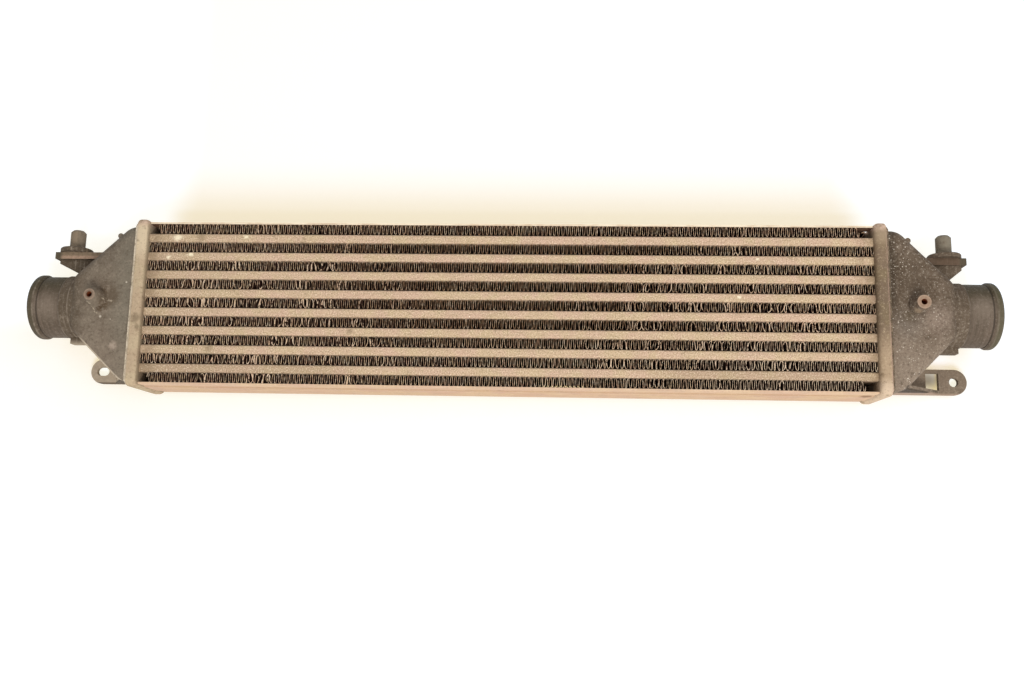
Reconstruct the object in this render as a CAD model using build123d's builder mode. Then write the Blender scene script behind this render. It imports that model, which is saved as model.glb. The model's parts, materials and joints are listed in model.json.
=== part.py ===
"""Air-to-air charge cooler: a brazed tube-and-fin core between two cast end tanks.

Frame: X runs along the tubes, +Y points to the locating pegs, +Z is up, out of the front face.
The cooler lies on its back. The origin is on the floor, under the middle of the core.
All sizes are in millimetres.
"""

import os
from math import atan2, tan

from build123d import *

os.makedirs("parts", exist_ok=True)

# ---------------------------------------------------------------- core
core_length = 570.0        # between the inner faces of the two header plates
core_depth = 54.0          # front to back, the width of a flat tube
tube_count = 8
tube_height = 7.0
tube_wall = 0.8
tube_edge_radius = 1.6     # outer corners of the flat tube
tube_stick_out = 3.0       # how far a tube end passes through the header floor
fin_height = 8.0           # gap between two tubes, filled by one corrugated row
fin_pitch = 3.3            # one full wave
fin_crest = 1.2            # flat on the top of each fold
fin_thickness = 0.2
fins_lost_left = {0: 2, 8: 2}    # waves missing at the left end, by row from the top
fins_lost_right = {0: 3, 8: 3}   # waves missing at the right end
turbulator_pitch = 4.0
turbulator_crest = 1.4
turbulator_thickness = 0.25
side_plate_thickness = 1.4
bead_width = 26.0          # long stiffening bead pressed into each side plate
bead_height = 0.8
bead_slope = 2.0
notch_length = 3.5         # drain notch in the top plate's right-hand end
notch_width = 8.0
notch_from_front = 11.5

# ---------------------------------------------------------------- header plates
header_width = 9.5         # along X, over the rim
header_height = 135.0
header_depth = 64.0
header_floor = 2.0
header_rim = 2.5
header_corner_radius = 6.0
header_bend_radius = 4.2   # outer bend between floor and rim
rim_edge_radius = 2.2
braze_gap = 0.1            # round each tube in its slot

# ---------------------------------------------------------------- end tanks
tank_wall = 3.5
tank_depth = 56.0
tank_height = 125.6
tank_edge_radius = 8.0     # rounded front and rear edges
tank_reach = 52.0          # rim edge to the small end of the tank
tank_end_height = 41.4
tank_end_radius = 10.0
shoulder_radius = 14.0
foot_gap = 0.2             # between the foot flange and the header rim
foot_below_rim = 1.5       # the foot flange stops this far inside the rim
foot_wall = 2.1            # flange wall round the tube ends
foot_pocket_depth = 5.0
weld_rise = 2.1            # weld bead standing beyond the rim edge

# ---------------------------------------------------------------- hose spigots
spigot_radius = 25.0       # hose seat, 50 mm outside diameter
spigot_wall = 2.8
spigot_reach = 35.1        # small end of the tank to the mouth
neck_radius = 25.8
neck_length = 9.5          # as-cast neck before the turned seat
neck_step = 0.8
groove_width = 1.2
groove_depth = 0.4
groove_from_mouth = 8.0
hose_bead_rise = 1.4
hose_bead_ramp = 2.4
hose_bead_flat = 2.2
lip_drop = 1.2             # rounding of the bead towards the mouth
mouth_chamfer = 0.8

# ---------------------------------------------------------------- cast details
boss_y = 3.0
boss_height = 12.0
boss_hole_radius = 2.25
boss_hole_depth = 10.0
peg_radius = 6.0
peg_length = 14.0
peg_chamfer = 1.8
collar_radius = 12.7
collar_thickness = 3.6
collar_bevel = 0.7
collar_cone_rise = 1.8
bracket_y = 45.6           # seat of the collar
bracket_thickness = 5.6
bracket_depth = 12.0
bracket_overhang = 15.0    # beyond the peg axis
gusset_depth = 6.0
gusset_overhang = 12.0     # beyond the peg axis
gusset_nose = 3.6          # height at its outer end
gusset_heel_inset = 3.0    # the foot of the slope, inside the peg axis
ear_radius = 10.3
ear_y = -49.2
ear_thickness = 4.0
ear_hole_radius = 3.6
ear_slot_length = 10.5     # overall, in the slotted ear
window_length = 10.2
window_height = 14.4
window_to_ear = 17.0       # centre of the window to the centre of the ear
web_thickness = 3.5
web_rise = 44.0            # depth of the ear's bottom web at the tank
web_end_inset = 11.5       # the web runs out this far before the ear's centre
lug_length = 7.3           # clamp lug under the neck
lug_drop = 4.8
lug_depth = 8.0
nub_radius = 2.2
nub_length = 9.0
nub_y = 54.5

# The two castings differ only in these details. Shoulder, boss, peg and ear are measured in X
# from the rim's edge, and gusset_heel is the gusset's height at the foot of its slope.
left_details = {
    "shoulder": 8.0, "boss": 29.6, "boss_base": 8.5, "boss_tip": 4.4,
    "peg": 62.7, "gusset_heel": 11.0, "ear": 42.8, "slotted": True,
}
right_details = {
    "shoulder": 10.6, "boss": 22.4, "boss_base": 8.0, "boss_tip": 5.2,
    "peg": 53.7, "gusset_heel": 15.8, "ear": 65.1, "slotted": False,
}

# ---------------------------------------------------------------- worked-out places
mid_z = header_depth / 2
tube_pitch = tube_height + fin_height
core_half_height = (tube_count * tube_height + (tube_count + 1) * fin_height) / 2
header_x = core_length / 2
floor_x = header_x + header_floor
rim_x = header_x + header_width
foot_top_x = rim_x - foot_below_rim
tank_end_x = rim_x + tank_reach
mouth_x = tank_end_x + spigot_reach
tank_narrowing = (tank_height - tank_end_height) / 2
tank_front_z = mid_z + tank_depth / 2
tank_back_z = mid_z - tank_depth / 2
cavity_depth = header_depth - 2 * header_rim
cavity_height = header_height - 2 * header_rim
cavity_radius = header_corner_radius - header_rim
lug_x = tank_end_x + lug_length
spigot_axis = Axis((0, 0, mid_z), (1, 0, 0))


def ribbon_length(waves, pitch, crest):
    """Length of a folded strip that starts and ends with a flat crest."""
    return waves * pitch - (pitch / 2 - crest)


def ribbon(waves, pitch, height, crest, thickness):
    """Closed outline of a strip folded into flat-topped waves, centred on the origin."""
    rise = height - thickness
    miter = thickness / 2 * tan(atan2(rise, pitch / 2 - crest) / 2)
    first = -ribbon_length(waves, pitch, crest) / 2
    upper, lower = [], []
    for fold in range(2 * waves):
        side = 1 if fold % 2 == 0 else -1
        start = first + fold * pitch / 2
        end = start + crest
        y = side * rise / 2
        upper += [(start - side * miter, y + thickness / 2), (end + side * miter, y + thickness / 2)]
        lower += [(start + side * miter, y - thickness / 2), (end - side * miter, y - thickness / 2)]
    return upper + lower[::-1]


def slope_x(shoulder_x, y):
    """X at the height y of the tank's sloping side, which starts at shoulder_x."""
    return shoulder_x + (tank_height / 2 - y) / tank_narrowing * (tank_end_x - shoulder_x)


def cross_section(x, y=0):
    """Plane across the tubes at x, with its own x axis along the depth."""
    return Plane(origin=(x, y, mid_z), x_dir=(0, 0, 1), z_dir=(1, 0, 0))


def save(part, name):
    part.label = name
    export_step(part, f"parts/{name}.step")


# ---------------------------------------------------------------- flat tubes and turbulators
tube_length = core_length + 2 * (header_floor + tube_stick_out)
bore_height = tube_height - 2 * tube_wall
bore_depth = core_depth - 2 * tube_wall
turbulator_waves = int((bore_depth - turbulator_pitch / 2) // turbulator_pitch)
turbulator_folds = ribbon(
    turbulator_waves, turbulator_pitch, bore_height, turbulator_crest, turbulator_thickness
)

for index in range(tube_count):
    tube_y = ((tube_count - 1) / 2 - index) * tube_pitch

    with BuildPart() as tube:
        with BuildSketch(cross_section(-tube_length / 2, tube_y)):
            RectangleRounded(core_depth, tube_height, tube_edge_radius)
            RectangleRounded(bore_depth, bore_height, tube_edge_radius - tube_wall, mode=Mode.SUBTRACT)
        extrude(amount=tube_length)
    save(tube.part, f"tube_{index + 1}")

    with BuildPart() as turbulator:
        with BuildSketch(cross_section(-core_length / 2, tube_y)):
            with BuildLine():
                Polyline(*turbulator_folds, close=True)
            make_face()
        extrude(amount=core_length)
    save(turbulator.part, f"turbulator_{index + 1}")

# ---------------------------------------------------------------- corrugated fin rows
fin_waves = int((core_length - fin_crest) // fin_pitch)

for row in range(tube_count + 1):
    lost_left = fins_lost_left.get(row, 0)
    lost_right = fins_lost_right.get(row, 0)
    row_x = (lost_left - lost_right) * fin_pitch / 2
    row_y = (tube_count / 2 - row) * tube_pitch
    folds = ribbon(fin_waves - lost_left - lost_right, fin_pitch, fin_height, fin_crest, fin_thickness)

    with BuildPart() as fin_row:
        with BuildSketch(Plane(origin=(row_x, row_y, mid_z - core_depth / 2))):
            with BuildLine():
                Polyline(*folds, close=True)
            make_face()
        extrude(amount=core_depth)
    save(fin_row.part, f"fin_row_{row + 1}")

# ---------------------------------------------------------------- side plates
bead_foot = bead_width / 2 + bead_slope
plate_outer = side_plate_thickness + bead_height
plate_half = [
    (0, bead_height), (bead_width / 2, bead_height), (bead_foot, 0), (core_depth / 2, 0),
    (core_depth / 2, side_plate_thickness), (bead_foot, side_plate_thickness),
    (bead_width / 2, plate_outer), (0, plate_outer),
]

for name, side, notched in (("side_plate_top", 1, True), ("side_plate_bottom", -1, False)):
    plate_origin = (-header_x, side * core_half_height, mid_z)
    with BuildPart() as side_plate:
        with BuildSketch(Plane(origin=plate_origin, x_dir=(0, 0, -side), z_dir=(1, 0, 0))):
            with BuildLine():
                Polyline(*plate_half)
                mirror(about=Plane.YZ)
            make_face()
        extrude(amount=core_length)
        if notched:
            with BuildSketch(Plane.XZ.offset(-side * core_half_height)):
                with Locations((header_x, mid_z + core_depth / 2 - notch_from_front)):
                    Rectangle(notch_length, notch_width, align=(Align.MAX, Align.MAX))
            extrude(amount=-plate_outer, mode=Mode.SUBTRACT)
    save(side_plate.part, name)

# ---------------------------------------------------------------- header plates
slot_depth = core_depth + 2 * braze_gap
slot_height = tube_height + 2 * braze_gap

for name, side in (("header_plate_left", -1), ("header_plate_right", 1)):
    with BuildPart() as header_plate:
        with BuildSketch(cross_section(header_x)):
            RectangleRounded(header_depth, header_height, header_corner_radius)
        extrude(amount=header_width)
        fillet(header_plate.faces().sort_by(Axis.X)[0].edges(), header_bend_radius)
        fillet(header_plate.faces().sort_by(Axis.X)[-1].edges(), rim_edge_radius)
        with BuildSketch(cross_section(floor_x)):
            RectangleRounded(cavity_depth, cavity_height, cavity_radius)
        extrude(amount=header_width, mode=Mode.SUBTRACT)
        with BuildSketch(cross_section(header_x)):
            with GridLocations(0, tube_pitch, 1, tube_count):
                RectangleRounded(slot_depth, slot_height, tube_edge_radius + braze_gap)
        extrude(amount=header_floor, mode=Mode.SUBTRACT)
        if side < 0:
            mirror(about=Plane.YZ, mode=Mode.REPLACE)
    save(header_plate.part, name)


# ---------------------------------------------------------------- end tanks
def tank_body(shoulder_x, inset):
    """Body of a right-hand tank that narrows from shoulder_x on, shrunk all round by inset."""
    with BuildPart() as body:
        with BuildSketch(Plane.XY.offset(tank_back_z + inset)) as outline:
            with BuildLine():
                Polyline(
                    (floor_x, tank_height / 2), (shoulder_x, tank_height / 2),
                    (tank_end_x, tank_end_height / 2), (tank_end_x, -tank_end_height / 2),
                    (shoulder_x, -tank_height / 2), (floor_x, -tank_height / 2),
                    close=True,
                )
            make_face()
            fillet(outline.vertices().group_by(Axis.X)[-1], tank_end_radius)
            fillet(outline.vertices().group_by(Axis.X)[1], shoulder_radius)
            if inset:
                offset(amount=-inset, mode=Mode.REPLACE)
        extrude(amount=tank_depth - 2 * inset)
        back_edges = body.faces().sort_by(Axis.Z)[0].edges().sort_by(Axis.X)[1:]
        front_edges = body.faces().sort_by(Axis.Z)[-1].edges().sort_by(Axis.X)[1:]
        fillet(back_edges + front_edges, tank_edge_radius - inset)
    return body.part


def spigot(shoulder_x):
    """Solid neck from shoulder_x on, turned hose seat, groove and bead, revolved as one."""
    groove_x = mouth_x - groove_from_mouth
    bead_x = groove_x + groove_width
    crest_x = bead_x + hose_bead_ramp
    seat_x = tank_end_x + neck_length
    bead_radius = spigot_radius + hose_bead_rise
    groove_radius = spigot_radius - groove_depth
    lip_x = crest_x + hose_bead_flat
    with BuildPart() as body:
        with BuildSketch(Plane(origin=(0, 0, mid_z), x_dir=(1, 0, 0), z_dir=(0, -1, 0))):
            with BuildLine():
                Polyline(
                    (lip_x, bead_radius), (crest_x, bead_radius),
                    (bead_x, spigot_radius), (bead_x, groove_radius),
                    (groove_x, groove_radius), (groove_x, spigot_radius),
                    (seat_x + neck_step, spigot_radius), (seat_x, neck_radius),
                    (shoulder_x, neck_radius), (shoulder_x, 0),
                    (mouth_x, 0), (mouth_x, bead_radius - lip_drop),
                )
                TangentArc((lip_x, bead_radius), (mouth_x, bead_radius - lip_drop), tangent=(1, 0))
            make_face()
        revolve(axis=spigot_axis)
    return body.part


def locating_peg(peg_x):
    """Peg on a bevelled collar, revolved about an axis along Y."""
    collar_y = bracket_y + collar_thickness
    cone_y = collar_y + collar_cone_rise
    tip_y = cone_y + peg_length
    collar_x = peg_x + collar_radius
    side_x = peg_x + peg_radius
    with BuildPart() as body:
        with BuildSketch(Plane.XY.offset(mid_z)):
            with BuildLine():
                Polyline(
                    (peg_x, bracket_y), (collar_x, bracket_y),
                    (collar_x, collar_y - collar_bevel), (collar_x - collar_bevel, collar_y),
                    (side_x, cone_y), (side_x, tip_y - peg_chamfer),
                    (side_x - peg_chamfer, tip_y), (peg_x, tip_y),
                    close=True,
                )
            make_face()
        revolve(axis=Axis((peg_x, 0, mid_z), (0, 1, 0)))
    return body.part


def end_tank(side, details):
    """One casting: body, foot flange, spigot, boss, peg bracket, ear, lug and nub."""
    shoulder_x = rim_x + details["shoulder"]
    boss_x = rim_x + details["boss"]
    peg_x = rim_x + details["peg"]
    ear_x = rim_x + details["ear"]
    bracket_foot_y = bracket_y - bracket_thickness
    gusset_x = peg_x + gusset_overhang
    gusset_y = bracket_foot_y - gusset_nose
    gusset_slope = (details["gusset_heel"] - gusset_nose) / (gusset_overhang + gusset_heel_inset)
    gusset_end_y = spigot_radius - spigot_wall / 2
    gusset_end_x = gusset_x - (gusset_y - gusset_end_y) / gusset_slope
    web_end_x = ear_x - web_end_inset
    lug_y = neck_radius + lug_drop
    bracket_x = slope_x(shoulder_x, bracket_y)
    lug_root_x = slope_x(shoulder_x, lug_y)
    nub_x = slope_x(shoulder_x, nub_y) - nub_radius / 2
    bracket_length = peg_x + bracket_overhang - bracket_x
    foot_depth = cavity_depth - 2 * foot_gap
    foot_height = cavity_height - 2 * foot_gap

    with BuildPart() as tank:
        add(tank_body(shoulder_x, 0))
        with BuildSketch(cross_section(floor_x)):
            RectangleRounded(foot_depth, foot_height, cavity_radius - foot_gap)
        extrude(amount=foot_top_x - floor_x)
        add(spigot(shoulder_x))

        with BuildSketch(Plane.XY.offset(tank_front_z)):
            with Locations((boss_x, boss_y)):
                Circle(details["boss_base"])
        with BuildSketch(Plane.XY.offset(tank_front_z + boss_height)):
            with Locations((boss_x, boss_y)):
                Circle(details["boss_tip"])
        loft()

        add(locating_peg(peg_x))
        with BuildSketch(Plane.XY.offset(mid_z - bracket_depth / 2)):
            with Locations((bracket_x, bracket_y)):
                Rectangle(bracket_length, bracket_thickness, align=(Align.MIN, Align.MAX))
        extrude(amount=bracket_depth)
        with BuildSketch(Plane.XY.offset(mid_z - gusset_depth / 2)):
            with BuildLine():
                Polyline(
                    (bracket_x, bracket_foot_y), (gusset_x, bracket_foot_y), (gusset_x, gusset_y),
                    (gusset_end_x, gusset_end_y), (bracket_x, gusset_end_y),
                    close=True,
                )
            make_face()
        extrude(amount=gusset_depth)

        with BuildSketch(Plane.XY.offset(tank_back_z)):
            with Locations((shoulder_x, ear_y)):
                Rectangle(ear_x - shoulder_x, 2 * ear_radius, align=(Align.MIN, Align.CENTER))
            with Locations((ear_x, ear_y)):
                Circle(ear_radius)
                if details["slotted"]:
                    SlotOverall(ear_slot_length, 2 * ear_hole_radius, mode=Mode.SUBTRACT)
                else:
                    Circle(ear_hole_radius, mode=Mode.SUBTRACT)
            if not details["slotted"]:
                with Locations((ear_x - window_to_ear, ear_y)):
                    Rectangle(window_length, window_height, mode=Mode.SUBTRACT)
        extrude(amount=ear_thickness)
        with BuildSketch(Plane.XZ.offset(ear_radius - ear_y - web_thickness)):
            with BuildLine():
                Polyline(
                    (shoulder_x, tank_back_z), (shoulder_x, tank_back_z + web_rise),
                    (web_end_x, tank_back_z + ear_thickness), (web_end_x, tank_back_z),
                    close=True,
                )
            make_face()
        extrude(amount=web_thickness)

        with BuildSketch(Plane.XY.offset(mid_z - lug_depth / 2)):
            with Locations((lug_root_x, -lug_y)):
                Rectangle(lug_x - lug_root_x, lug_y - spigot_radius, align=(Align.MIN, Align.MIN))
        extrude(amount=lug_depth)
        with Locations((nub_x, nub_y, tank_front_z - tank_edge_radius)):
            Cylinder(nub_radius, nub_length)

        add(tank_body(shoulder_x, tank_wall), mode=Mode.SUBTRACT)
        with BuildSketch(cross_section(floor_x)):
            RectangleRounded(foot_depth - 2 * foot_wall, tank_height - 2 * tank_wall, tube_edge_radius)
        extrude(amount=foot_pocket_depth, mode=Mode.SUBTRACT)
        with BuildSketch(cross_section(tank_end_x - tank_end_radius)):
            Circle(spigot_radius - spigot_wall)
        extrude(amount=tank_end_radius + spigot_reach, mode=Mode.SUBTRACT)
        chamfer(tank.faces().sort_by(Axis.X)[-1].edges().sort_by(SortBy.RADIUS)[0], mouth_chamfer)
        with Locations((boss_x, boss_y, tank_front_z + boss_height)):
            Hole(boss_hole_radius, depth=boss_hole_depth)
        if side < 0:
            mirror(about=Plane.YZ, mode=Mode.REPLACE)
    return tank.part


save(end_tank(-1, left_details), "tank_left")
save(end_tank(1, right_details), "tank_right")

# ---------------------------------------------------------------- weld beads, tank to header rim
for name, side in (("weld_left", -1), ("weld_right", 1)):
    with BuildPart() as weld:
        with BuildSketch(cross_section(foot_top_x)):
            RectangleRounded(cavity_depth, cavity_height, cavity_radius)
        extrude(amount=foot_below_rim + weld_rise)
        fillet(weld.faces().sort_by(Axis.X)[-1].edges(), weld_rise)
        with BuildSketch(cross_section(foot_top_x)):
            RectangleRounded(tank_depth, tank_height, tank_edge_radius)
        extrude(amount=foot_below_rim + weld_rise, mode=Mode.SUBTRACT)
        if side < 0:
            mirror(about=Plane.YZ, mode=Mode.REPLACE)
    save(weld.part, name)
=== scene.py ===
"""Dresses the charge cooler: bent fins, weld beads, cast, pressed and brazed aluminium with road dirt."""

import json
import math

import bpy
from mathutils import Matrix, Vector


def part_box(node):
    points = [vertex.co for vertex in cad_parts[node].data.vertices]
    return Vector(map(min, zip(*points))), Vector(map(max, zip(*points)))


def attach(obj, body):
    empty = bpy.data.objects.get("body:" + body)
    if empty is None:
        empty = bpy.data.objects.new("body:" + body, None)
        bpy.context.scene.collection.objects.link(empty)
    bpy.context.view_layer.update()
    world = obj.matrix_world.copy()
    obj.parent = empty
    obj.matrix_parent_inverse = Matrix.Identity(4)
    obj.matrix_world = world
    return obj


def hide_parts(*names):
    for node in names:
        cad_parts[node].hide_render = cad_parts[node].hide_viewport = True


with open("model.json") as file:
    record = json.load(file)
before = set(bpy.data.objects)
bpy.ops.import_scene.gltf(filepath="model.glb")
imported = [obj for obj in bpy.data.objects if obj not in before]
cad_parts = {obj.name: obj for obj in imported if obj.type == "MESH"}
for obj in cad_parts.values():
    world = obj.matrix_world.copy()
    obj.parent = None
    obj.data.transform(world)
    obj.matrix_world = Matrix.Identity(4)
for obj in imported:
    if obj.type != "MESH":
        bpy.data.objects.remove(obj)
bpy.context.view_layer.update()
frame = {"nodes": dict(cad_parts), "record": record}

MM = 0.001

# Where things stand on the cooler, in millimetres.
core_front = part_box("tube_1")[1].z / MM
core_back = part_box("tube_1")[0].z / MM
core_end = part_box("side_plate_top")[1].x / MM
core_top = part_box("side_plate_top")[1].y / MM
rim_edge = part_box("header_plate_right")[1].x / MM
header_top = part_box("header_plate_right")[1].y / MM
boss_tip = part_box("tank_right")[1].z / MM
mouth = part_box("tank_right")[1].x / MM
spigot_seat = 356.0     # where the turned hose seats begin, along x
middle_z = 32.0         # the spigots' axis and the middle of the core's depth
bead_offset = 14.0      # of the beads in the side plates, from middle_z
header_front = 64.0
tank_front = 60.0
bracket_front = 38.0
bracket_low = 40.0      # the lower side of the peg brackets, along y
ear_front = 10.0
ear_low = -60.0         # the lower side of the ears, along y
slope_point = (302.5, 62.8)     # where the tanks' slanting sides pass, in x and y
slope_normal = (0.691, 0.722)   # and which way they face
groove_back = 7.4       # the groove behind the rolled mouth, from the mouth
boss_y, boss_z = 3.0, 66.0
bosses = (-324.1, 5.0), (316.9, 5.8)    # the front bosses' x and the radius of their face

# ---------------------------------------------------------------- wiring of node trees


def math_operator(operation, swapped=False):
    """The method behind a Python operator between a wire and a wire or a number."""
    def combine(self, other):
        pair = (other, self) if swapped else (self, other)
        return self.board.maths(operation, *pair)
    return combine


class Wire:
    """One socket of a node tree. Sums, products and comparisons of wires add their Math nodes."""

    def __init__(self, board, socket):
        self.board = board
        self.socket = socket

    __add__ = math_operator("ADD")
    __radd__ = math_operator("ADD", swapped=True)
    __sub__ = math_operator("SUBTRACT")
    __rsub__ = math_operator("SUBTRACT", swapped=True)
    __mul__ = math_operator("MULTIPLY")
    __rmul__ = math_operator("MULTIPLY", swapped=True)
    __truediv__ = math_operator("DIVIDE")
    __pow__ = math_operator("POWER")
    __gt__ = math_operator("GREATER_THAN")
    __lt__ = math_operator("LESS_THAN")

    def __neg__(self):
        return self * -1.0

    def __abs__(self):
        return self.board.maths("ABSOLUTE", self)


class Board:
    """A node tree being wired, for a finish or for a shape."""

    def __init__(self, tree):
        self.tree = tree

    def node(self, kind, inputs=None, output=0, **settings):
        """Adds a node: its settings first, then its inputs by name or number. Returns one output."""
        made = self.tree.nodes.new(kind)
        for name, value in settings.items():
            setattr(made, name, value)
        for name, value in (inputs or {}).items():
            if isinstance(value, Wire):
                self.tree.links.new(value.socket, made.inputs[name])
            else:
                made.inputs[name].default_value = value
        return Wire(self, made.outputs[output]) if made.outputs else None

    def maths(self, operation, *values):
        """A Math node on one or more wires or numbers."""
        return self.node("ShaderNodeMath", dict(enumerate(values)), operation=operation)

    def most(self, *wires):
        """The largest of some wires."""
        largest, *others = wires
        for wire in others:
            largest = self.maths("MAXIMUM", largest, wire)
        return largest

    def step(self, value, low, high):
        """0 below low, 1 above high, smooth between them; low may be the larger."""
        if low > high:
            return 1.0 - self.step(value, high, low)
        return self.node(
            "ShaderNodeMapRange", {"Value": value, "From Min": low, "From Max": high},
            interpolation_type="SMOOTHSTEP",
        )

    def noise(self, place, scale, detail=2.0, rough=0.5, low=None, high=None):
        """Fractal noise, about 0.5 on average; with low and high, a mask between them."""
        grain = self.node(
            "ShaderNodeTexNoise",
            {"Vector": place, "Scale": scale, "Detail": detail, "Roughness": rough},
        )
        return grain if low is None else self.step(grain, low, high)

    def noise_along(self, where, seed, detail=1.0):
        """Noise in one dimension, about 0 on average."""
        return self.node(
            "ShaderNodeTexNoise", {"W": where + seed, "Scale": 1.0, "Detail": detail},
            noise_dimensions="1D",
        ) - 0.5

    def blend(self, factor, first, second):
        """Mix of two colours."""
        return self.node("ShaderNodeMix", {0: factor, 6: first, 7: second}, output=2, data_type="RGBA")


def paint(red, green, blue):
    """A colour written in screen values, 0 to 255, as Blender's linear colour."""
    linear = []
    for value in (red, green, blue):
        share = value / 255
        linear.append(share / 12.92 if share <= 0.04045 else ((share + 0.055) / 1.055) ** 2.4)
    return (*linear, 1.0)


class Finish(Board):
    """A material under construction. Its place is in millimetres on the cooler."""

    def __init__(self, name):
        self.material = bpy.data.materials.new(name)
        self.material.use_nodes = True
        self.material.node_tree.nodes.clear()
        super().__init__(self.material.node_tree)
        metres = self.node("ShaderNodeTexCoord", output="Object")
        self.place = self.vector("SCALE", metres, Scale=1 / MM)
        self.x, self.y, self.z = (
            self.node("ShaderNodeSeparateXYZ", {0: self.place}, output=axis) for axis in "XYZ"
        )
        self.reach = abs(self.x)

    def vector(self, operation, *values, output=0, **inputs):
        """A Vector Math node."""
        inputs.update(enumerate(values))
        return self.node("ShaderNodeVectorMath", inputs, output=output, operation=operation)

    def stretched(self, x, y, z):
        """The place with each axis scaled, for a grain that runs one way."""
        return self.vector("MULTIPLY", self.place, (x, y, z))

    def tones(self, first, second, scale, detail=3.0, rough=0.6, low=0.4, high=0.6):
        """Two colours in soft clouds."""
        return self.blend(self.noise(self.place, scale, detail, rough, low, high), first, second)

    def flecks(self, colour, grain, *marks):
        """A colour with a grain's crests and hollows marked: each as (from, to, share, paint)."""
        for start, end, share, tint in marks:
            colour = self.blend(self.step(grain, start, end) * share, colour, tint)
        return colour

    def spot(self, centre, radius, soft=0.5, ragged=0.0, size=(1, 1, 1)):
        """A round mark at a place, 1 inside; ragged breaks up its edge."""
        offset = self.vector("SUBTRACT", self.place, centre)
        offset = self.vector("MULTIPLY", offset, [1 / s for s in size])
        distance = self.vector("LENGTH", offset, output="Value")
        if ragged:
            distance = distance + (self.noise(self.place, 0.35, 4.0, 0.6) - 0.5) * ragged
        return self.step(distance, radius * (1 + soft), radius * (1 - soft))

    def marks(self, colour, tint, share, height, places, **form):
        """A colour with round marks at a height z, each given by its x, its y and its radius."""
        for x, y, radius in places:
            colour = self.blend(self.spot((x, y, height), radius, **form) * share, colour, tint)
        return colour

    def specks(self, spacing, radius, share, seed=0.0):
        """Small round grains scattered over the surface; share is how many cells hold one."""
        moved = self.vector("ADD", self.place, (seed, seed, seed))
        cells = {"Vector": moved, "Scale": 1 / spacing}
        distance = self.node("ShaderNodeTexVoronoi", cells, output="Distance")
        pick = self.node("ShaderNodeTexVoronoi", cells, output="Color")
        chance = self.node("ShaderNodeSeparateColor", {0: pick}, output=0)
        size = self.node("ShaderNodeSeparateColor", {0: pick}, output=1)
        edge = (size * 0.7 + 0.5) * (radius / spacing)
        return self.step(edge - distance, 0.0, 0.25 * radius / spacing) * (chance < share)

    def close(self, colour, rough, height=None, metallic=0.0):
        """Ends the material: colour, roughness, relief in millimetres and how metallic it is."""
        inputs = {
            "Base Color": colour, "Roughness": rough, "Metallic": metallic, "Specular IOR Level": 0.28,
        }
        if height is not None:
            inputs["Normal"] = self.node("ShaderNodeBump", {"Height": height, "Distance": MM})
        shader = self.node("ShaderNodeBsdfPrincipled", inputs)
        self.node("ShaderNodeOutputMaterial", {"Surface": shader})
        return self.material


# ---------------------------------------------------------------- finishes
# Each one is dusty, oxidised aluminium; what differs is how it was made, what the road left on it, and
# painted light and shade.


def tube_finish():
    """Brazed flat tubes: matte tan dust, gritty, with ragged paler scuffs and a few dark stains."""
    f = Finish("Dusty tube")
    colour = f.tones(paint(204, 180, 146), paint(207, 175, 152), 0.05, 4.0, 0.6, 0.36, 0.64)
    left = f.step(f.x, -170.0, -280.0)
    colour = f.blend(left * 0.45, colour, paint(178, 157, 128))
    lowest = f.step(f.y, -48.0, -49.0) * f.step(f.reach, 90.0, 150.0)
    colour = f.blend(lowest * 0.45, colour, paint(158, 134, 108))
    worn = f.noise(f.stretched(0.25, 1, 1), 0.3, 4.0, 0.65, 0.42, 0.72)
    colour = f.blend(worn * 0.4, colour, paint(178, 156, 126))
    grit = f.noise(f.place, 0.95, 3.0, 0.75)
    colour = f.flecks(
        colour, grit,
        (0.52, 0.66, 0.85, paint(240, 222, 196)),
        (0.47, 0.34, 0.8, paint(142, 120, 98)),
    )
    # The ends stand in the header's shade and hold more dirt.
    ends = f.step(f.reach, core_end - 20, core_end - 1) * f.noise(f.place, 0.11, 3.0, 0.6, 0.3, 0.6)
    colour = f.blend(ends * 0.6, colour, paint(132, 110, 86))
    stain = f.noise(f.place, 0.09, 5.0, 0.7, 0.64, 0.74)
    colour = f.blend(stain * 0.5, colour, paint(128, 106, 84))
    chipped = (
        (-262, 53, 3.2), (-251, 39, 1.9), (-207, 53.5, 1.6), (-268, 37, 1.6),
        (51, 16, 1.2), (196, 38, 1.5), (182, 8, 1.2),
    )
    colour = f.marks(
        colour, paint(255, 244, 214), 0.8, core_front, chipped, soft=0.7, ragged=7.0, size=(1, 0.7, 1),
    )
    stained = (-243, 53, 3.0), (-231, -37, 2.6), (-120, -22, 2.0)
    colour = f.marks(colour, paint(120, 98, 76), 0.45, core_front, stained, soft=0.8, ragged=4.0)
    colour = f.blend(f.specks(9.0, 0.5, 0.16), colour, paint(255, 246, 226))
    # Painted shade: the tubes darken towards the back, between the fin rows.
    inside = f.step(f.z, core_front - 1.2, core_front - 8.0)
    colour = f.blend(inside * 0.85, colour, paint(96, 76, 58))
    height = grit * 0.3 + f.noise(f.place, 0.25, 2.0) * 0.25
    return f.close(colour, 0.9, height)


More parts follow.
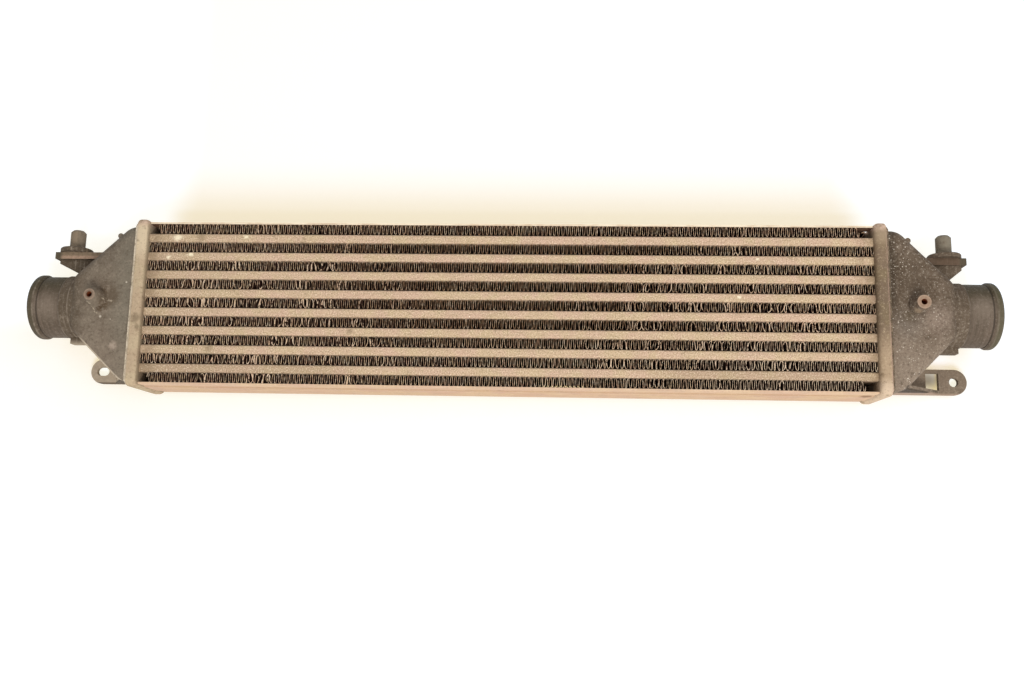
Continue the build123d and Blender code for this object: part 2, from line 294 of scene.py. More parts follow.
def fin_finish():
    """Fin foil: pale, dusty front edges and dark brown deeper in, dirt and painted shade."""
    f = Finish("Dirty fin foil")
    edge = f.tones(paint(232, 200, 160), paint(222, 180, 150), 0.12, low=0.35, high=0.65)
    # The middle rows are browner half way along, the lower ones paler towards the right.
    middle = f.step(abs(f.y - 14.0), 50.0, 38.0) * f.step(f.reach, 210.0, 90.0)
    edge = f.blend(middle * 0.75, edge, paint(148, 110, 76))
    lower = f.step(f.y, -20.0, -40.0) * f.step(f.x, 100.0, 200.0)
    bright = f.noise(f.place, 0.4, 3.0, 0.7, 0.48, 0.6) * (0.85 - 0.35 * middle + 0.15 * lower)
    edge = f.blend(f.most(bright, lower * 0.5), edge, paint(240, 220, 194))
    # Folds that were pushed over show more of their pale side.
    pushed = f.node("ShaderNodeAttribute", output="Fac", attribute_name="pushed")
    pushed = pushed * f.noise(f.place, 0.3, 3.0, 0.6, 0.4, 0.56)
    edge = f.blend(pushed * 0.6, edge, paint(248, 224, 198))
    # Deeper in, the foil is painted near black brown: dirt and painted shade.
    deep_dirt_and_shade = f.tones(paint(46, 27, 14), paint(52, 25, 14), 0.05)
    depth = (core_front - f.z) + (f.noise(f.place, 0.5, 2.0) - 0.5) * 0.9 - pushed * 2.0
    colour = f.blend(f.step(depth, -0.03, 0.48), edge, deep_dirt_and_shade)
    rear = f.step(f.z, core_back + 3.0, core_back + 0.5)
    colour = f.blend(rear * 0.8, colour, edge)
    height = f.noise(f.place, 1.4, 2.0) * 0.08
    return f.close(colour, 0.85, height)


def turbulator_finish():
    """Foil inside the tubes: cleaner, a little oily."""
    f = Finish("Turbulator foil")
    colour = f.blend(f.noise(f.place, 0.2, 3.0), paint(168, 164, 156), paint(140, 132, 120))
    return f.close(colour, 0.5, f.noise(f.place, 1.0, 2.0) * 0.05, metallic=0.6)


def side_plate_finish():
    """Pressed side plates: pinkish dust in streaks, painted shade low on the lower one; the upper one is
    dark within, dirt and painted shade, with a pale painted highlight at its edge.
    """
    f = Finish("Dusty side plate")
    on_top = f.y > 0.0
    colour = f.tones(paint(212, 181, 148), paint(208, 172, 147), 0.03)
    cloud = f.noise(f.place, 0.06, 4.0, 0.65)
    colour = f.flecks(colour, cloud, (0.5, 0.66, 0.5, paint(196, 172, 146)))
    streak = f.noise(f.stretched(0.12, 1, 1), 0.45, 4.0, 0.7)
    colour = f.flecks(
        colour, streak,
        (0.52, 0.68, 0.35, paint(184, 152, 124)),
        (0.46, 0.34, 0.4, paint(234, 212, 186)),
    )
    beads = abs(abs(f.z - middle_z) - bead_offset)
    colour = f.blend(f.step(beads, 1.6, 0.4) * 0.5, colour, paint(178, 142, 112))
    grit = f.noise(f.place, 0.7, 4.0, 0.75)
    colour = f.flecks(colour, grit, (0.53, 0.7, 0.5, paint(240, 220, 194)))
    stain = f.noise(f.stretched(0.5, 1, 1), 0.1, 5.0, 0.7, 0.64, 0.74)
    colour = f.blend(stain * 0.5, colour, paint(150, 122, 98))
    # Painted shade: the lower plate darkens towards the table.
    colour = f.blend(f.step(f.z, 18.0, 8.0) * (f.y < 0.0) * 0.4, colour, paint(190, 160, 134))
    washed = f.step(abs(f.z - middle_z), 15.0, 19.0)
    colour = f.blend(washed * 0.15, colour, paint(246, 222, 198))
    # Inside, the upper plate is dark brown, dirt and painted shade; its front edge carries a pale painted
    # highlight.
    inner = f.step(f.y, core_top - 0.9, core_top - 1.2) * on_top
    dirt = f.tones(paint(84, 52, 36), paint(110, 80, 58), 0.25, rough=0.7, high=0.7)
    colour = f.blend(inner * 0.93, colour, dirt)
    edge = f.step(f.z, core_front - 0.7, core_front - 0.3) * on_top
    uneven = f.noise(f.stretched(0.2, 1, 1), 0.3, 4.0, 0.7, 0.4, 0.66)
    cream = f.blend(uneven, paint(255, 240, 214), paint(226, 204, 176))
    colour = f.blend(edge * 0.9, colour, cream)
    colour = f.blend(f.spot((279, -66, 44), 4.0, 0.7, 8.0) * 0.7, colour, paint(120, 88, 66))
    height = grit * 0.2 + streak * 0.2
    return f.close(colour, 0.88, height)


def header_finish():
    """Pressed header plates: rolled rim, olive tan on the left and greyer on the right, with dirt,
    painted shade in the bend and painted highlights at the seam and the knobs.
    """
    f = Finish("Pressed header")
    on_right = f.x > 0.0
    left = f.tones(paint(193, 174, 145), paint(186, 164, 138), 0.06)
    right = f.tones(paint(129, 112, 88), paint(122, 104, 86), 0.06)
    colour = f.blend(on_right, left, right)
    low = f.step(f.y, -8.0, -42.0) * on_right
    colour = f.blend(low * 0.9, colour, paint(184, 160, 133))
    lowest = f.step(f.y, -52.0, -62.0) * on_right
    colour = f.blend(lowest * 0.7, colour, paint(226, 203, 178))
    high = f.step(f.y, 28.0, 46.0) * (f.x < 0.0)
    colour = f.blend(high * 0.7, colour, paint(224, 206, 176))
    grit = f.noise(f.place, 0.5, 5.0, 0.8)
    colour = f.flecks(
        colour, grit,
        (0.52, 0.68, 0.6, paint(212, 192, 160)),
        (0.47, 0.32, 0.65, paint(112, 92, 68)),
    )
    patch = f.noise(f.place, 0.13, 5.0, 0.7, 0.56, 0.7)
    colour = f.blend(patch * (0.5 + 0.2 * on_right), colour, paint(120, 100, 76))
    # The bend towards the core is darker, dirt and painted shade; the seam to the tank has a ragged pale
    # line, dust and a painted highlight.
    bend = f.step(f.reach, core_end + 1.4, core_end + 0.2)
    colour = f.blend(bend * (1.0 - low * 0.5) * (0.5 - 0.1 * on_right), colour, paint(96, 78, 58))
    seam = f.step(f.reach, rim_edge - 1.8, rim_edge - 0.4)
    ragged = f.noise(f.place, 0.35, 4.0, 0.7, 0.36, 0.56)
    dust = f.blend(on_right, paint(232, 217, 195), paint(186, 156, 140))
    colour = f.blend(seam * ragged * 0.85, colour, dust)
    # Both ends are paler at the top: rubbed, with a pinkish painted highlight on the knobs.
    colour = f.blend(f.step(f.y, 26.0, 40.0) * on_right * 0.2, colour, paint(160, 136, 112))
    colour = f.blend(f.step(f.y, 46.0, 56.0) * on_right * 0.4, colour, paint(190, 168, 142))
    top = f.step(f.y, header_top - 9, header_top - 3)
    knob = f.tones(paint(214, 184, 164), paint(176, 150, 128), 0.2)
    colour = f.blend(top * (0.75 + 0.2 * on_right), colour, knob)
    # Painted highlight: pale patches on the right knob's dome.
    colour = f.blend(top * on_right * ragged * 0.2, colour, paint(240, 218, 196))
    oily = (-289, -14, 3.4), (-287, -21, 2.0)
    colour = f.marks(colour, paint(92, 80, 56), 0.5, header_front, oily, soft=0.8, ragged=5.0)
    height = grit * 0.45 + f.noise(f.place, 0.22, 3.0, 0.6) * 0.7
    return f.close(colour, 0.88, height)


def weld_finish():
    """Weld bead: dull aluminium, as dirty as the casting it joins, with dust in the ripples."""
    f = Finish("Weld bead")
    dark = f.tones(paint(92, 79, 64), paint(130, 112, 92), 0.3, 4.0, 0.7, 0.4, 0.65)
    pale = f.tones(paint(172, 158, 136), paint(232, 218, 196), 0.3, 4.0, 0.7, 0.36, 0.6)
    colour = f.blend(f.x > 0.0, pale, dark)
    colour = f.blend(f.noise(f.place, 0.9, 3.0, 0.6, 0.56, 0.7) * 0.6, colour, paint(200, 182, 156))
    return f.close(colour, 0.8, f.noise(f.place, 0.8, 2.0) * 0.2)


def casting_skin_and_painted_light(f, on_right):
    """The tanks' ground colour: grey on the left, browner on the right, darker towards the necks, with
    painted light on the lower slopes and painted light and shade on the right-hand tank.
    """
    cloud = f.noise(f.place, 0.05, 4.0, 0.6, 0.36, 0.64)
    left = f.blend(cloud, paint(130, 118, 103), paint(114, 101, 87))
    left = f.blend(f.step(f.y, 16.0, 34.0) * 0.6, left, paint(104, 93, 80))
    left = f.blend(f.step(f.reach, 318.0, 298.0) * 0.5, left, paint(126, 121, 107))
    right = f.blend(cloud, paint(106, 90, 75), paint(132, 116, 101))
    colour = f.blend(on_right, left, right)

    # The lower slopes are paler: dust and painted light from below.
    lower = f.step(f.y, -8.0, -50.0)
    colour = f.blend(lower * (0.35 + 0.4 * on_right), colour, paint(146, 130, 114))
    neck = f.step(f.reach, 329.0, 346.0)
    colour = f.blend(neck * (0.8 - 0.2 * on_right), colour, paint(86, 73, 58))

    # Painted shade: the right-hand tank is dark above and along the header's rim. A painted highlight
    # gives a pale shoulder by the neck, and painted shade darkens its rounded end.
    dark = f.spot((306, 24, tank_front), 28.0, 0.8, 22.0) * on_right
    colour = f.blend(dark * 0.7, colour, paint(74, 59, 43))
    wavering = (f.noise(f.place, 0.2, 4.0, 0.7) - 0.5) * 8.0
    beside_rim = f.step(f.reach + wavering, 304.0, 298.0) * f.step(f.y, -12.0, 8.0) * on_right
    colour = f.blend(beside_rim * 0.8, colour, paint(66, 54, 41))
    # Painted highlight on the shoulder, then painted shade on the rounded end.
    colour = f.blend(f.spot((332, -8, 58), 10.0, 0.8, 10.0) * 0.6, colour, paint(156, 138, 124))
    colour = f.blend(f.spot((344, -13, 52), 4.0, 0.6, 3.0, (1, 2.2, 2)) * 0.5, colour, paint(84, 70, 56))
    greyer = f.spot((308, -12, tank_front), 10.0, 0.8, 12.0) * on_right
    colour = f.blend(greyer * 0.5, colour, paint(122, 112, 102))
    # A painted shadow at the foot of its boss and a painted highlight on the boss's lower edge.
    colour = f.blend(f.spot((309, -6, 62), 5.0, 0.6, 6.0) * 0.5, colour, paint(84, 70, 48))
    return f.blend(f.spot((313.5, -3.5, 66), 3.0, 0.6, 4.0) * 0.5, colour, paint(184, 160, 132))


def casting_damage_and_boss_shade(f, colour):
    """What has hit the left-hand tank: dark knocks beside its boss, partly painted shade of the boss's
    side, scratches, chips and a pale rub.
    """
    # Dark knocks beside the left boss, partly painted shade of the boss's side.
    knocks = (
        (-315, 4, 9.0, 0.55), (-319.5, 7, 3.0, 0.6), (-319, -1, 4.0, 0.5),
        (-320.8, -6.4, 2.4, 0.85), (-316, -4, 2.6, 0.5),
    )
    for x, y, radius, share in knocks:
        colour = f.blend(f.spot((x, y, tank_front), radius, 0.4, 6.0) * share, colour, paint(80, 62, 42))
    # Each scratch has its middle, its slope and half its length.
    scratches = (
        (-327, -2.6, -0.3, 3.0), (-325.5, -6, -1.2, 4.0),
        (-323.5, -9, -0.6, 3.0), (-313.7, 0.6, -0.25, 4.5),
    )
    broken = f.noise(f.place, 0.5, 3.0, 0.7, 0.42, 0.56)
    for x, y, slope, length in scratches:
        along = (f.x - x) + (f.y - y) * slope
        aside = (f.y - y) - (f.x - x) * slope
        line = f.step(abs(aside), 0.9, 0.3) * f.step(abs(along), length, length - 1.5)
        colour = f.blend(line * broken * 0.8, colour, paint(196, 182, 160))
    chips = (-300.5, 15.5, 0.7), (-319.3, -12.4, 0.9), (-311, -14.5, 0.4)
    colour = f.marks(colour, paint(214, 204, 188), 0.8, tank_front, chips)
    rub = f.spot((-307.2, -35.7, tank_front), 2.8, 0.8, 5.0)
    return f.blend(rub * 0.7, colour, paint(186, 168, 152))


def road_salt(f, colour, on_right):
    """White grains of road salt, thick on the right-hand tank."""
    crowd = f.noise(f.place, 0.07, 3.0, 0.6, 0.4, 0.58)
    fine = f.specks(1.7, 0.45, 0.6, 11.0) * (0.2 + 0.8 * crowd) * on_right
    coarse = f.specks(7.0, 0.65, 0.16, 23.0) * on_right
    few = f.specks(7.0, 0.45, 0.12, 3.0)
    grains = f.most(fine * 0.7, coarse * 0.9, few * 0.6)
    face = f.step(f.z, 48.0, 54.0) * f.step(f.reach, 345.0, 325.0)
    return f.blend(grains * face, colour, paint(232, 222, 206))


def hose_seat(f, on_right, grit, bands):
    """The turned hose seats: darker, finer, streaked round the axis, greenish at the rolled mouth."""
    seat = f.blend(bands, paint(82, 70, 57), paint(100, 86, 74))
    # Painted shade: the seats are darker on top, with an olive tint.
    upper = f.step(f.y, 2.0, 18.0)
    seat = f.blend(upper * 0.9, seat, paint(62, 53, 29))
    # A pale patch on the front of each seat: scuffs and a painted highlight.
    scuff_and_highlight = f.spot((-366, -4, 57), 9.0, 0.9, 9.0) + f.spot((367, 2, 57), 8.0, 0.9, 9.0)
    seat = f.blend(scuff_and_highlight * 0.5, seat, paint(142, 128, 114))
    seat = f.flecks(
        seat, grit,
        (0.52, 0.68, 0.3, paint(158, 146, 132)),
        (0.46, 0.3, 0.4, paint(52, 43, 32)),
    )
    lip = f.step(f.reach, mouth - 6.5, mouth - 3.0)
    return f.blend(lip * 0.6, seat, f.blend(on_right, paint(64, 60, 40), paint(82, 80, 56)))


def ear_webs(f, colour, on_right):
    """The ears' underside: brown painted shade under the webs, pinkish metal at their feet, a painted
    highlight along the left web's edge.
    """
    under = f.step(f.y, ear_low + 2.5, ear_low + 0.6)
    # The left web's edge rises steeply beside the header's rim, the right one's is level.
    web_end, web_top, rise = 304.0, 52.0, 6.1
    below_edge = web_top - (web_end - f.reach) * rise - f.z
    level = f.step(f.z, 17.0, 22.0) * f.step(f.reach, web_end, web_end + 4.0)
    shade = under * f.blend(on_right, f.step(below_edge, 0.0, 3.0), level)
    colour = f.blend(shade * 0.85, colour, paint(60, 49, 37))
    pink = under * f.blend(on_right, f.step(f.z, 8.0, 6.0) * 0.6, f.step(f.z, 22.0, 17.0))
    colour = f.blend(pink * 0.7, colour, paint(190, 162, 144))
    bright = f.step(abs(below_edge), 3.0, 1.0) * under * (f.x < 0.0)
    return f.blend(bright * 0.8, colour, paint(196, 180, 160))


def fittings(f, colour, on_right, grit):
    """The bosses' faces, the ears' webs, and the fronts of the brackets, the ears and the pegs."""
    bare = f.step(f.z, boss_tip - 0.5, boss_tip - 0.1)
    dull = f.noise(f.place, 0.35, 3.0, 0.6, 0.4, 0.6) * 0.7
    left_face = f.blend(dull, paint(140, 120, 103), paint(120, 100, 84))
    right_face = f.blend(dull, paint(170, 141, 119), paint(148, 123, 103))
    colour = f.blend(bare * 0.9, colour, f.blend(on_right, left_face, right_face))
    colour = ear_webs(f, colour, on_right)

    facing = f.step(f.z, bracket_front - 0.6, bracket_front - 0.1)
    facing = facing * f.step(f.z, bracket_front + 0.6, bracket_front + 0.2)
    bracket = facing * f.step(f.y, bracket_low - 0.4, bracket_low + 0.2) * f.step(f.reach, 328.0, 331.0)
    left_front = f.blend(f.step(f.y, 43.0, 42.2), paint(150, 130, 108), paint(190, 159, 136))
    left_front = f.blend(f.step(f.reach, 365.0, 369.0), left_front, paint(86, 78, 62))
    right_front = f.blend(f.step(f.reach, 356.0, 360.0), paint(104, 84, 68), paint(84, 76, 60))
    front = f.blend(on_right, left_front, right_front)
    colour = f.blend(bracket * (0.6 + 0.3 * f.step(grit, 0.4, 0.6)), colour, front)

    uneven = f.noise(f.place, 0.3, 4.0, 0.7, 0.3, 0.6) * 0.5 + 0.5
    ear = f.step(f.z, ear_front + 1.0, ear_front - 0.5) * f.step(f.reach, 322.0, 328.0)
    ear = ear * f.step(f.y, -36.0, -38.0)
    ear_grey = f.blend(on_right, paint(112, 94, 78), paint(168, 148, 128))
    colour = f.blend(ear * uneven * 0.35, colour, ear_grey)
    peg = f.step(f.y, 50.0, 51.5) * f.step(f.reach, 330.0, 334.0)
    peg_grey = f.blend(on_right, paint(138, 124, 106), paint(138, 130, 114))
    colour = f.blend(peg * uneven * 0.85, colour, peg_grey)

    # A rubbed ring on each boss, rust in its hole.
    for x, rim in bosses:
        centre = (x, boss_y, boss_z)
        ring = f.spot(centre, rim, 0.12, size=(1, 1, 4)) - f.spot(centre, rim - 1.2, 0.15, size=(1, 1, 4))
        colour = f.blend(ring * bare * 0.35, colour, paint(190, 168, 148))
        colour = f.blend(f.spot(centre, 2.9, 0.1, size=(1, 1, 3)), colour, paint(128, 62, 26))
    return colour


def casting_finish():
    """Sand-cast tanks: matte grey brown, mottled and pitted, with turned seats and bare boss faces."""
    f = Finish("Sand-cast tank")
    on_right = f.x > 0.0
    colour = casting_damage_and_boss_shade(f, casting_skin_and_painted_light(f, on_right))
    mottle = f.noise(f.place, 0.17, 5.0, 0.7)
    colour = f.flecks(
        colour, mottle,
        (0.53, 0.68, 0.45 - 0.15 * on_right, paint(158, 144, 128)),
        (0.46, 0.32, 0.5, paint(78, 64, 50)),
    )
    grit = f.noise(f.place, 0.5, 5.0, 0.8)
    colour = f.flecks(
        colour, grit,
        (0.52, 0.7, 0.35 + 0.4 * on_right, paint(178, 166, 150)),
        (0.47, 0.32, 0.55 + 0.25 * on_right, paint(66, 54, 42)),
    )
    # The left tank's lower slope is bright along its edge: rubbed, with a painted highlight.
    (x, y), (tilt_x, tilt_y) = slope_point, slope_normal
    outside = (f.reach - x) * tilt_x + (abs(f.y) - y) * tilt_y
    rub_and_highlight = f.step(outside, -2.6, -1.4) * f.step(f.y, -26.0, -34.0) * (f.x < 0.0)
    colour = f.blend(rub_and_highlight * 0.8, colour, paint(214, 198, 176))
    colour = road_salt(f, colour, on_right)

    above = f.z - middle_z
    round_axis = f.step(f.y * f.y + above * above, 920.0, 830.0)
    turned = f.step(f.reach, spigot_seat - 1.0, spigot_seat + 0.5) * round_axis
    bands = f.noise(f.stretched(1, 0.08, 0.08), 0.5, 3.0, 0.6, 0.35, 0.65)
    colour = f.blend(turned * 0.9, colour, hose_seat(f, on_right, grit, bands))
    # Painted shade in the groove behind the rolled mouth.
    groove = f.step(abs(f.reach - (mouth - groove_back)), 0.8, 0.3)
    colour = f.blend(groove * 0.6, colour, paint(40, 33, 24))
    # Fine pale arcs, painted highlights where the cast neck meets the body and the seat, and at the
    # rolled mouth.
    for place, strength in ((348.5, 0.35), (352.0, 0.2), (spigot_seat, 0.4), (mouth - 4.6, 0.35)):
        arc = f.step(abs(f.reach - place), 0.8, 0.2) * f.noise(f.place, 0.12, 3.0, 0.6, 0.35, 0.6)
        colour = f.blend(arc * strength * (1.0 - 0.5 * on_right), colour, paint(176, 162, 146))
    colour = fittings(f, colour, on_right, grit)

    cast_grain = f.noise(f.place, 0.5, 5.0, 0.8) * 0.7 + f.noise(f.place, 0.14, 2.0) * 0.7
    pits = f.specks(3.4, 0.6, 0.3, 5.0) * 0.35
    rings = f.maths("SINE", f.reach * 2.6) * 0.02 + bands * 0.08
    height = (cast_grain - pits) * (1.0 - turned) + rings * turned
    rough = 0.82 - 0.16 * turned
    return f.close(colour, rough, height)


# ---------------------------------------------------------------- shapes that repeat


def shape_tree(name, sizes):
    """A geometry tree with one named input for each size. Returns its board and its inputs."""
    tree = bpy.data.node_groups.new(name, "GeometryNodeTree")
    tree.interface.new_socket("Geometry", in_out="OUTPUT", socket_type="NodeSocketGeometry")
    for label, value in sizes.items():
        kind = "NodeSocketInt" if isinstance(value, int) else "NodeSocketFloat"
        tree.interface.new_socket(label, in_out="INPUT", socket_type=kind)
    board = Board(tree)
    entry = tree.nodes.new("NodeGroupInput")
    return board, {label: Wire(board, entry.outputs[label]) for label in sizes}


def close_tree(board, geometry, material):
    """Ends a geometry tree with real geometry in its material."""
    real = board.node("GeometryNodeRealizeInstances", {"Geometry": geometry})
    painted = board.node("GeometryNodeSetMaterial", {"Geometry": real, "Material": material})
    board.node("NodeGroupOutput", {"Geometry": painted})
    return board.tree


def grow(name, tree, sizes, wall=None):
    """A plain mesh object made by a geometry tree; wall gives a sheet its thickness."""
    piece = bpy.data.objects.new(name, bpy.data.meshes.new(name))
    bpy.context.scene.collection.objects.link(piece)
    shape = piece.modifiers.new("Shape", "NODES")
    shape.node_group = tree
    for socket in tree.interface.items_tree:
        if socket.in_out == "INPUT":
            shape[socket.identifier] = sizes[socket.name]
    if wall:
        sheet = piece.modifiers.new("Wall", "SOLIDIFY")
        sheet.thickness = wall
        sheet.offset = 0.0
    evaluated = piece.evaluated_get(bpy.context.evaluated_depsgraph_get())
    grown = bpy.data.meshes.new_from_object(evaluated)
    piece.modifiers.clear()
    piece.data = grown
    return piece


FIN = {
    "Waves": 172, "Points per wave": 12, "Layers": 7,
    "Pitch": 3.3 * MM, "Height": 8.0 * MM, "Depth": 54.0 * MM,
    "Middle x": 0.0, "Middle y": 0.0, "Front z": core_front * MM,
    "Roundness": 0.062, "Bend": 2.3 * MM, "Bent depth": 2.0 * MM, "Damage": 0.5, "Seed": 1.0,
}


def fin_tree(material):
    """One corrugated row: a folded strip whose front edges are pushed about by stones and washing."""
    b, size = shape_tree("Corrugated fins", FIN)
    columns = size["Waves"] * size["Points per wave"] + 1
    layers = size["Layers"]
    grid = b.node("GeometryNodeMeshGrid", {
        "Size X": 1.0, "Size Y": 1.0, "Vertices X": columns, "Vertices Y": layers,
    })
    index = b.node("GeometryNodeInputIndex")
    column = b.maths("FLOOR", index / layers)
    layer = index - column * layers
    wave = column / size["Points per wave"]
    turn = wave * math.tau
    fold = b.maths("SINE", turn)
    # The layers stand closer together near the front, where the foil is bent.
    depth = (layer / (layers - 1)) ** 2.6 * size["Depth"]
    front = b.maths("EXPONENT", -depth / size["Bent depth"])

    # Knocks come in runs, hardly any by the middle of the row or at its ends.
    seed = size["Seed"]
    calm = 0.48     # the place of the calm middle, as a share of the row
    off_middle = abs(wave - size["Waves"] * calm) / size["Waves"]
    spared = b.step(off_middle, 0.05, 0.24) * b.step(off_middle, 0.49, 0.4) * 0.85 + 0.15
    runs = b.noise_along(wave * 0.13, seed * 31.0, 2.0) + size["Damage"] * 0.3
    knocks = b.step(runs, 0.02, 0.2) * spared
    # Each flank is pushed its own way, most at mid height, and leans where its crest has torn loose.
    flank = b.maths("FLOOR", wave * 2.0 + 0.5)
    chance = b.node("ShaderNodeTexWhiteNoise", {"W": flank + seed * 7.0}, noise_dimensions="1D") - 0.5
    belly = (1.0 - fold * fold) * chance * (0.12 + 0.6 * knocks)
    lean = b.noise_along(wave * 0.5, seed * 17.0) * fold * (0.2 + 1.7 * knocks)
    push = (belly * 1.5 + lean) * size["Bend"] * front
    wander = b.noise_along(wave * 0.21, seed * 5.0) * size["Pitch"] * 0.25
    pushed = knocks * b.step(abs(chance), 0.2, 0.4)

    across = wave - size["Waves"] / 2 - b.maths("SINE", turn * 2.0) * size["Roundness"]
    x = size["Middle x"] + across * size["Pitch"] + wander + push
    y = size["Middle y"] + fold * size["Height"] / 2 * (1.0 - 0.06 * front * knocks)
    z = size["Front z"] - depth - abs(push) * 0.35 * front
    spot = b.node("ShaderNodeCombineXYZ", {"X": x, "Y": y, "Z": z})
    sheet = b.node("GeometryNodeSetPosition", {"Geometry": grid, "Position": spot})
    # The foil's finish reads how far it was pushed.
    note = {"Geometry": sheet, "Name": "pushed", "Value": pushed}
    sheet = b.node("GeometryNodeStoreNamedAttribute", note)
    return close_tree(b, sheet, material)


WELD = {
    "Middle x": 0.0, "Width": 0.0, "Height": 0.0, "Middle z": middle_z * MM, "Corner": 0.0,
    "Radius": 1.4 * MM, "Ripple": 1.9 * MM, "Uneven": 0.2, "Seed": 1.0,
}


def weld_tree(material):
    """A weld bead: a round run along a rounded rectangle, with ripples and uneven width."""
    b, size = shape_tree("Weld bead", WELD)
    outline = {"Width": size["Width"], "Height": size["Height"]}
    path = b.node("GeometryNodeCurvePrimitiveQuadrilateral", outline, mode="RECTANGLE")
    rounding = {"Curve": path, "Radius": size["Corner"], "Count": 10}
    path = b.node("GeometryNodeFilletCurve", rounding, mode="POLY")
    spacing = {"Curve": path, "Length": size["Ripple"] / 4}
    path = b.node("GeometryNodeResampleCurve", spacing, mode="LENGTH")
    along = b.node("GeometryNodeSplineParameter", output="Length") / size["Ripple"]
    ripple = abs(b.maths("SINE", along * math.pi)) * 0.16
    uneven = b.noise_along(along * 0.18, size["Seed"] * 13.0, 2.0) * size["Uneven"] * 4.0
    path = b.node("GeometryNodeSetCurveRadius", {"Curve": path, "Radius": 0.9 + ripple + uneven})
    section = {"Resolution": 10, "Radius": size["Radius"]}
    ring = b.node("GeometryNodeCurvePrimitiveCircle", section, mode="RADIUS")
    bead = b.node("GeometryNodeCurveToMesh", {"Curve": path, "Profile Curve": ring})
    shift = b.node("ShaderNodeCombineXYZ", {"X": size["Middle x"], "Y": 0.0, "Z": size["Middle z"]})
    bead = b.node("GeometryNodeTransform", {
        "Geometry": bead, "Rotation": (math.pi / 2, 0.0, math.pi / 2), "Translation": shift,
    })
    return close_tree(b, bead, material)


def fit(piece, slot, *nodes):
    """Puts a finished piece on the cooler in place of CAD nodes; slot is not used."""
    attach(piece, "root")
    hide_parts(*nodes)


# How knocked about each row of fins is, from the top.
row_damage = (-0.1, -0.2, 0.3, 0.35, 0.5, 0.4, 0.35, 0.3, 0.1)
foil = 0.3 * MM
fin_overrun = 0.9 * MM   # past the CAD row, towards the header plates


def make_fins():
    """Nine rows of fins, each as many whole waves as fit between the header plates."""
    tree = fin_tree(fin_finish())
    for row, damage in enumerate(row_damage, 1):
        node = f"fin_row_{row}"
        low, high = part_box(node)
        span = high.x - low.x + 2 * fin_overrun
        waves = math.floor(span / FIN["Pitch"])
        sizes = FIN | {
            "Waves": waves,
            "Pitch": span / waves,
            "Height": high.y - low.y - foil,
            "Depth": high.z - low.z - foil,
            "Middle x": (low.x + high.x) / 2,
            "Middle y": (low.y + high.y) / 2,
            "Front z": high.z - foil / 2,
            "Damage": damage,
            "Seed": float(row),
        }
        fit(grow(f"bent_fins_{row}", tree, sizes, foil), "fin_foil", node)


def make_welds():
    """A bead round each header plate, where the tank's foot meets its rim."""
    tree = weld_tree(weld_finish())
    inset = 1.1 * MM    # of the run from the outside of the bead
    for name, side, seed in (("weld_left", -1, 2.0), ("weld_right", 1, 3.0)):
        low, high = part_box(name)
        sizes = WELD | {
            "Middle x": side * (rim_edge + 0.4) * MM,
            "Width": high.y - low.y - 2 * inset,
            "Height": high.z - low.z - 2 * inset,
            "Corner": 5.0 * MM - inset,
            "Seed": seed,
        }
        fit(grow(f"rippled_{name}", tree, sizes), "weld_metal", name)


def paint_nodes():
    """Gives every CAD node its finish."""
    finishes = {
        "tube_sheet": tube_finish(),
        "turbulator_foil": turbulator_finish(),
        "side_sheet": side_plate_finish(),
        "header_sheet": header_finish(),
        "cast_aluminium": casting_finish(),
    }
    for part in frame["record"]["subparts"]:
        finish = finishes.get(part["material_slot"])
        if finish:
            for place in frame["nodes"][part["node"]].material_slots:
                place.material = finish


# ---------------------------------------------------------------- studio


def make_camera():
    """Over the cooler's lower edge, a little right of its middle."""
    place = Vector((46.5, -160.1, 819.5)) * MM
    aim = Vector((7.2, -28.3, core_front)) * MM
    roll = math.radians(1.15)
    data = bpy.data.cameras.new("Camera")
    data.sensor_width = 36.0
    data.lens = 35.16
    camera = bpy.data.objects.new("Camera", data)
    ahead = (aim - place).normalized()
    right = ahead.cross(Vector((0, 1, 0))).normalized()
    up = right.cross(ahead)
    right, up = right * math.cos(roll) + up * math.sin(roll), up * math.cos(roll) - right * math.sin(roll)
    turned = Matrix((right, up, -ahead)).transposed().to_4x4()
    camera.matrix_world = Matrix.Translation(place) @ turned
    bpy.context.scene.collection.objects.link(camera)
    bpy.context.scene.camera = camera


def make_lamp(name, place, size, power, colour):
    """A square soft box at a place, in metres, facing the middle of the cooler."""
    data = bpy.data.lights.new(name, "AREA")
    data.size = size
    data.energy = power
    data.color = colour
    lamp = bpy.data.objects.new(name, data)
    lamp.location = place
    lamp.rotation_euler = (-Vector(place)).to_track_quat("-Z", "Y").to_euler()
    bpy.context.scene.collection.objects.link(lamp)


def seen_rays(board):
    """1 for what the lens sees, straight or in a mirror or through glass."""
    rays = ("Camera", "Glossy", "Transmission")
    return board.most(*(board.node("ShaderNodeLightPath", output=f"Is {ray} Ray") for ray in rays))


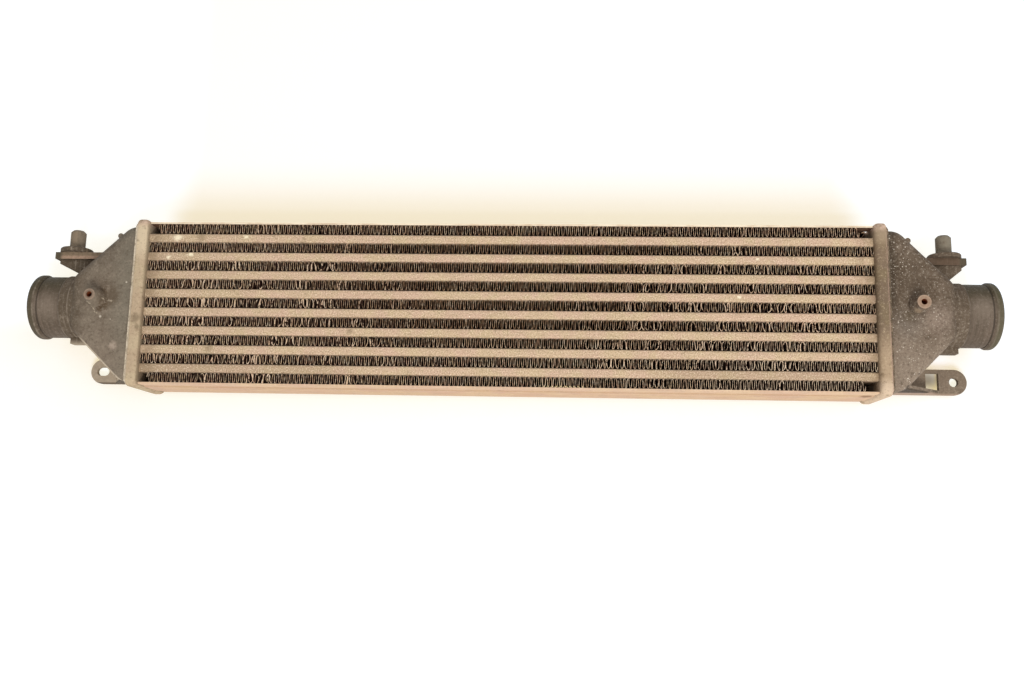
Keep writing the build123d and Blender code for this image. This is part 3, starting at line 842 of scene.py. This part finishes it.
def floor_finish():
    """A warm white table: its own light for the lens, its shadow from the lamps, and painted light and
    shadow near the cooler.
    """
    f = Finish("White table")
    # Painted light and shadow on the table: paler beside the core's ends, under the ears' holes and
    # between the right ear and neck; a painted shadow behind the core.
    beside = f.step(f.reach, 265.0, 305.0) * f.step(f.y, -20.0, 20.0)
    holes = f.spot((-337, -49, 0), 9.0, 0.3) + f.spot((360, -49, 0), 9.0, 0.3)
    warm, cream = (0.742, 0.588, 0.27, 1), (0.86, 0.8, 0.62, 1)
    tint = f.blend(f.most(beside * 0.8, holes), warm, cream)
    tint = f.blend(f.spot((350, -33, 0), 9.0, 0.9) * 0.8, tint, (0.8, 0.66, 0.46, 1))
    behind = f.step(f.y, 97.0, 90.0) * f.step(f.y, 20.0, 50.0) * f.step(f.reach, 300.0, 270.0)
    tint = f.blend(behind, tint, (0.7, 0.54, 0.2, 1))
    near = f.spot((0, 0, 0), 620.0, 0.3)
    tint = f.blend(near, (0.93, 0.91, 0.84, 1), tint)
    # A painted shadow under the right tank's window, dark in both the glow and the lit part.
    window_shadow = f.spot((341.5, -46, 0), 6.0, 0.8, size=(1.6, 1, 1)) * 0.8
    tint = f.blend(window_shadow, tint, (0.1, 0.075, 0.05, 1))
    shadowed = f.blend(window_shadow, (0.33, 0.47, 0.79, 1), (0.12, 0.1, 0.07, 1))

    lit = f.node("ShaderNodeBsdfDiffuse", {"Color": shadowed})
    glow = f.node("ShaderNodeEmission", {"Color": tint, "Strength": 1.0})
    white = f.node("ShaderNodeAddShader", {0: lit, 1: glow})
    plain = f.node("ShaderNodeBsdfDiffuse", {"Color": (0.86, 0.85, 0.82, 1)})
    both = f.node("ShaderNodeMixShader", {0: seen_rays(f), 1: plain, 2: white})
    f.node("ShaderNodeOutputMaterial", {"Surface": both})
    return f.material


def make_floor():
    """A table of 12 by 12 metres, at the height on which the cooler rests."""
    half = 6.0
    corners = [(-half, -half, 0), (half, -half, 0), (half, half, 0), (-half, half, 0)]
    data = bpy.data.meshes.new("Table")
    data.from_pydata(corners, [], [(0, 1, 2, 3)])
    data.materials.append(floor_finish())
    table = bpy.data.objects.new("Table", data)
    bpy.context.scene.collection.objects.link(table)


def make_room():
    """Soft light from all round, which the lens sees as plain white."""
    world = bpy.data.worlds.new("Studio")
    world.use_nodes = True
    world.node_tree.nodes.clear()
    b = Board(world.node_tree)
    dim = b.node("ShaderNodeBackground", {"Color": (1.0, 0.98, 0.95, 1), "Strength": 0.55})
    white = b.node("ShaderNodeBackground", {"Color": (1.0, 1.0, 1.0, 1), "Strength": 1.0})
    both = b.node("ShaderNodeMixShader", {0: seen_rays(b), 1: dim, 2: white})
    b.node("ShaderNodeOutputWorld", {"Surface": both})
    bpy.context.scene.world = world
    bpy.context.scene.view_settings.view_transform = "Standard"


make_camera()
make_room()
make_floor()
make_lamp("Key", (0.35, -1.3, 1.7), size=0.8, power=26.0, colour=(1.0, 0.97, 0.92))
make_lamp("Fill", (1.1, 0.3, 1.6), size=1.2, power=6.0, colour=(1.0, 1.0, 1.0))
paint_nodes()
make_fins()
make_welds()
